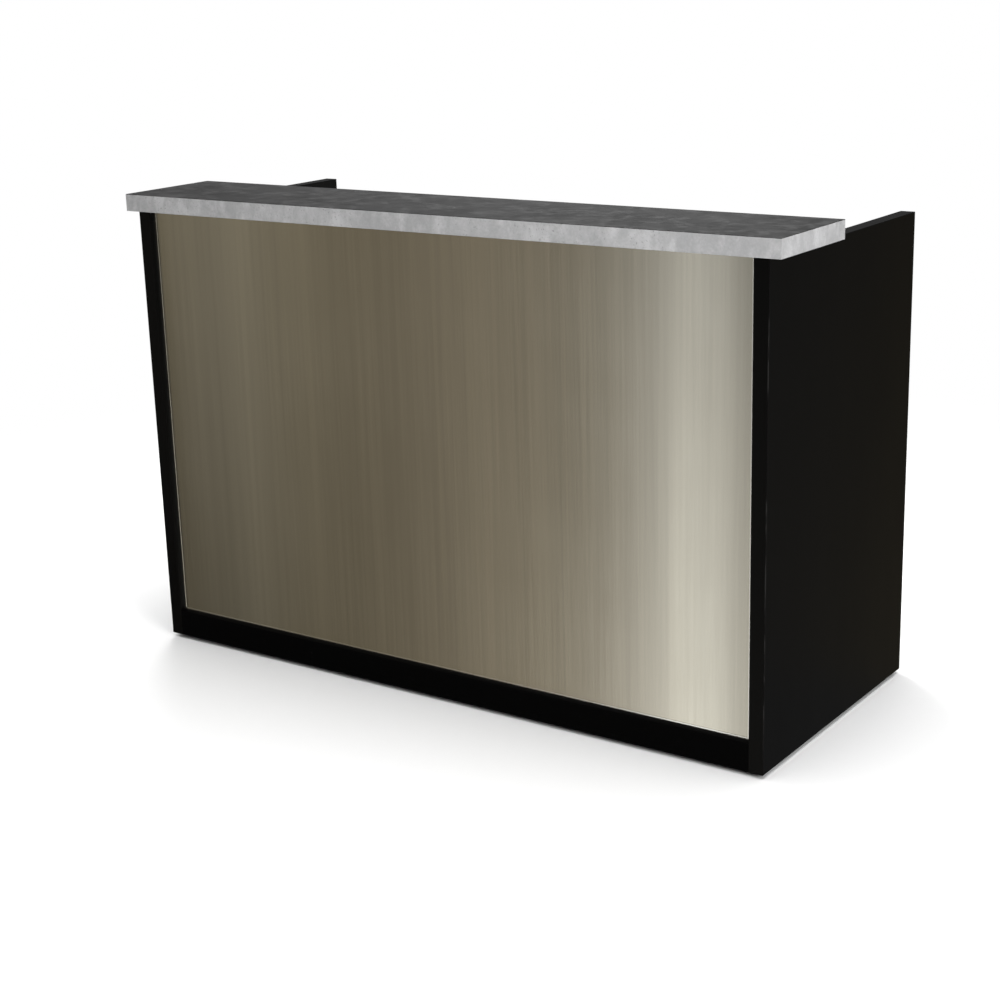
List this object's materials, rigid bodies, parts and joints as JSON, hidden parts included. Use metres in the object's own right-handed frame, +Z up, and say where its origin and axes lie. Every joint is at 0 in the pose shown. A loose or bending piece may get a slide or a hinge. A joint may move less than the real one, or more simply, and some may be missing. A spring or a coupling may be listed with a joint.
{
  "type": "mobile bar unit",
  "caption": "Free-standing bar on hidden casters: black laminate case with brushed steel front, stone-look top, and a work deck with ice bin, speed rail and open storage behind.",
  "frame": {"origin": "on the floor, under the middle of the overall box", "axes": "+X to the right as the guests see it, +Y to the bartender's side, +Z up"},
  "size_m": [1.894, 0.777, 1.226],
  "materials": {
    "laminate_black": "satin",
    "board_black": "matte",
    "front_steel": "satin",
    "trim_steel": "satin",
    "deck_steel": "satin",
    "galvanised_steel": "matte",
    "stone_top": "satin",
    "stone_edge": "satin",
    "core_wood": "matte",
    "foam": "matte",
    "brass": "satin",
    "zinc_steel": "satin",
    "pipe_plastic": "satin",
    "red_grip": "satin",
    "wheel_plastic": "satin",
    "tread_rubber": "matte"
  },
  "bodies": {
    "case": {"end_panel_left": "laminate_black", "end_panel_right": "laminate_black", "base_rail_front": "laminate_black", "base_rail_rear": "laminate_black", "front_board": "board_black", "bottom_deck": "board_black", "front_skin": "front_steel", "skin_trim_left": "trim_steel", "skin_trim_right": "trim_steel", "skin_trim_bottom": "trim_steel", "bar_top_core": "core_wood", "deck_cleats": "core_wood", "bar_top_sheet": "stone_top", "bar_top_edging": "stone_edge", "top_angles": "zinc_steel", "angle_screws": "zinc_steel", "rail_screws": "zinc_steel", "caster_bolts": "zinc_steel", "work_deck": "deck_steel", "apron": "deck_steel", "apron_filler_left": "deck_steel", "apron_filler_right": "deck_steel", "bin_liner": "deck_steel", "rail_tray": "deck_steel", "rail_band": "deck_steel", "rail_bracket_left": "deck_steel", "rail_bracket_right": "deck_steel", "drain_outlet": "deck_steel", "bin_jacket": "galvanised_steel", "bin_insulation": "foam", "drain_nut": "brass", "valve_body": "brass", "hose_tail": "brass", "drain_pipe": "pipe_plastic", "caster_plate_front_left": "zinc_steel", "caster_plate_front_right": "zinc_steel", "caster_plate_back_left": "zinc_steel", "caster_plate_back_right": "zinc_steel"},
    "caster_front_left": {"caster_fork_front_left": "zinc_steel", "caster_axle_front_left": "zinc_steel"},
    "wheel_front_left": {"wheel_core_front_left": "wheel_plastic", "wheel_tread_front_left": "tread_rubber"},
    "caster_front_right": {"caster_fork_front_right": "zinc_steel", "caster_axle_front_right": "zinc_steel"},
    "wheel_front_right": {"wheel_core_front_right": "wheel_plastic", "wheel_tread_front_right": "tread_rubber"},
    "caster_back_left": {"caster_fork_back_left": "zinc_steel", "caster_axle_back_left": "zinc_steel"},
    "wheel_back_left": {"wheel_core_back_left": "wheel_plastic", "wheel_tread_back_left": "tread_rubber"},
    "caster_back_right": {"caster_fork_back_right": "zinc_steel", "caster_axle_back_right": "zinc_steel"},
    "wheel_back_right": {"wheel_core_back_right": "wheel_plastic", "wheel_tread_back_right": "tread_rubber"},
    "brake_left": {"brake_pedal_left": "red_grip"},
    "brake_right": {"brake_pedal_right": "red_grip"},
    "valve_lever": {"valve_ball": "deck_steel", "valve_handle": "red_grip", "valve_nut": "zinc_steel"}
  },
  "joints": [
    {"name": "swivel_front_left", "type": "hinge", "parent": "case", "child": "caster_front_left", "pos_m": [-0.752, -0.2135, 0.087], "axis": [0, 0, 1], "continuous": true},
    {"name": "roll_front_left", "type": "hinge", "parent": "caster_front_left", "child": "wheel_front_left", "pos_m": [-0.784, -0.2135, 0.0375], "axis": [0, 1, 0], "continuous": true},
    {"name": "swivel_front_right", "type": "hinge", "parent": "case", "child": "caster_front_right", "pos_m": [0.752, -0.2135, 0.087], "axis": [0, 0, 1], "continuous": true},
    {"name": "roll_front_right", "type": "hinge", "parent": "caster_front_right", "child": "wheel_front_right", "pos_m": [0.784, -0.2135, 0.0375], "axis": [0, -1, 0], "continuous": true},
    {"name": "swivel_back_left", "type": "hinge", "parent": "case", "child": "caster_back_left", "pos_m": [-0.752, 0.2455, 0.087], "axis": [0, 0, 1], "continuous": true},
    {"name": "roll_back_left", "type": "hinge", "parent": "caster_back_left", "child": "wheel_back_left", "pos_m": [-0.752, 0.2775, 0.0375], "axis": [1, 0, 0], "continuous": true},
    {"name": "swivel_back_right", "type": "hinge", "parent": "case", "child": "caster_back_right", "pos_m": [0.752, 0.2455, 0.087], "axis": [0, 0, 1], "continuous": true},
    {"name": "roll_back_right", "type": "hinge", "parent": "caster_back_right", "child": "wheel_back_right", "pos_m": [0.752, 0.2775, 0.0375], "axis": [1, 0, 0], "continuous": true},
    {"name": "brake_left_pedal", "type": "hinge", "parent": "caster_back_left", "child": "brake_left", "pos_m": [-0.752, 0.31159, 0.0661], "axis": [-1, 0, 0], "range_deg": [0, 15]},
    {"name": "brake_right_pedal", "type": "hinge", "parent": "caster_back_right", "child": "brake_right", "pos_m": [0.752, 0.31159, 0.0661], "axis": [-1, 0, 0], "range_deg": [0, 15]},
    {"name": "drain_valve", "type": "hinge", "parent": "case", "child": "valve_lever", "pos_m": [0, 0.04975, 0.505], "axis": [0, 0, 1], "range_deg": [0, 90]}
  ]
}
